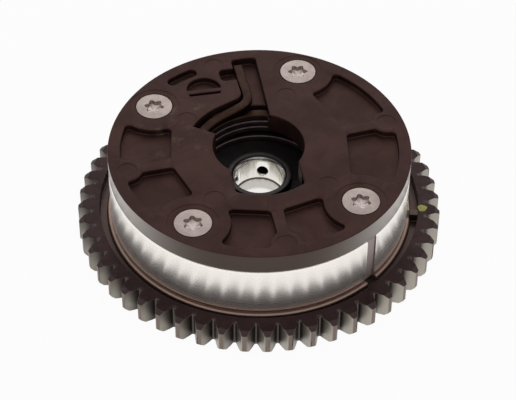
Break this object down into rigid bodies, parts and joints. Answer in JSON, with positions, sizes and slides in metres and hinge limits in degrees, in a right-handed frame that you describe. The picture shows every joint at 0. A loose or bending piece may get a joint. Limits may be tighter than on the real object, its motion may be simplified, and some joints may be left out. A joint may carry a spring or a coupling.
{
  "type": "cam phaser",
  "caption": "Vane-type camshaft phaser: chain sprocket and vane housing under a bolted cast cover, with a sprung rotor that turns inside on the camshaft bolt.",
  "frame": {"origin": "on the camshaft axis, at the rear face of the sprocket", "axes": "+Z along the camshaft axis towards the front cover; seen from the front cover, +X points to the right of the picture and +Y away from its viewer"},
  "size_m": [0.105, 0.105, 0.0285],
  "materials": {
    "sintered_steel": "hardened sintered steel with a brown steam oxide",
    "turned_steel": "bright turned band",
    "steam_oxide": "sintered steel with a dark brown steam oxide",
    "spring_steel": "tempered spring wire, warm brown",
    "screw_steel": "plain zinc-coloured screw heads",
    "ground_steel": "ground and hardened",
    "seal_plastic": "moulded seal strip"
  },
  "bodies": {
    "housing": {"sprocket": "sintered_steel", "housing": "turned_steel", "front_cover": "steam_oxide", "return_spring": "spring_steel", "lock_pin_seat": "ground_steel", "cover_screw_1": "screw_steel", "cover_screw_2": "screw_steel", "cover_screw_3": "screw_steel", "cover_screw_4": "screw_steel", "web_seal_1": "seal_plastic", "web_seal_2": "seal_plastic", "web_seal_3": "seal_plastic", "web_seal_4": "seal_plastic", "web_seal_spring_1": "ground_steel", "web_seal_spring_2": "ground_steel", "web_seal_spring_3": "ground_steel", "web_seal_spring_4": "ground_steel"},
    "rotor": {"rotor": "steam_oxide", "lock_pin_stop": "ground_steel", "lock_pin_spring": "ground_steel", "vane_seal_1": "seal_plastic", "vane_seal_2": "seal_plastic", "vane_seal_3": "seal_plastic", "vane_seal_4": "seal_plastic", "vane_seal_spring_1": "ground_steel", "vane_seal_spring_2": "ground_steel", "vane_seal_spring_3": "ground_steel", "vane_seal_spring_4": "ground_steel"},
    "lock_pin": {"lock_pin": "ground_steel"}
  },
  "joints": [
    {"name": "rotor_turn", "type": "hinge", "parent": "housing", "child": "rotor", "pos_m": [0, 0, 0.0146], "axis": [0, 0, 1], "range_deg": [0, 25], "stiffness_Nm_per_rad": 1, "springref_deg": -45.84, "deforming": ["return_spring"]},
    {"name": "lock_pin_slide", "type": "slide", "parent": "rotor", "child": "lock_pin", "axis": [0, 0, 1], "range_m": [0, 0.0015], "stiffness_N_per_m": 400, "springref_m": -0.008, "deforming": ["lock_pin_spring"]}
  ]
}
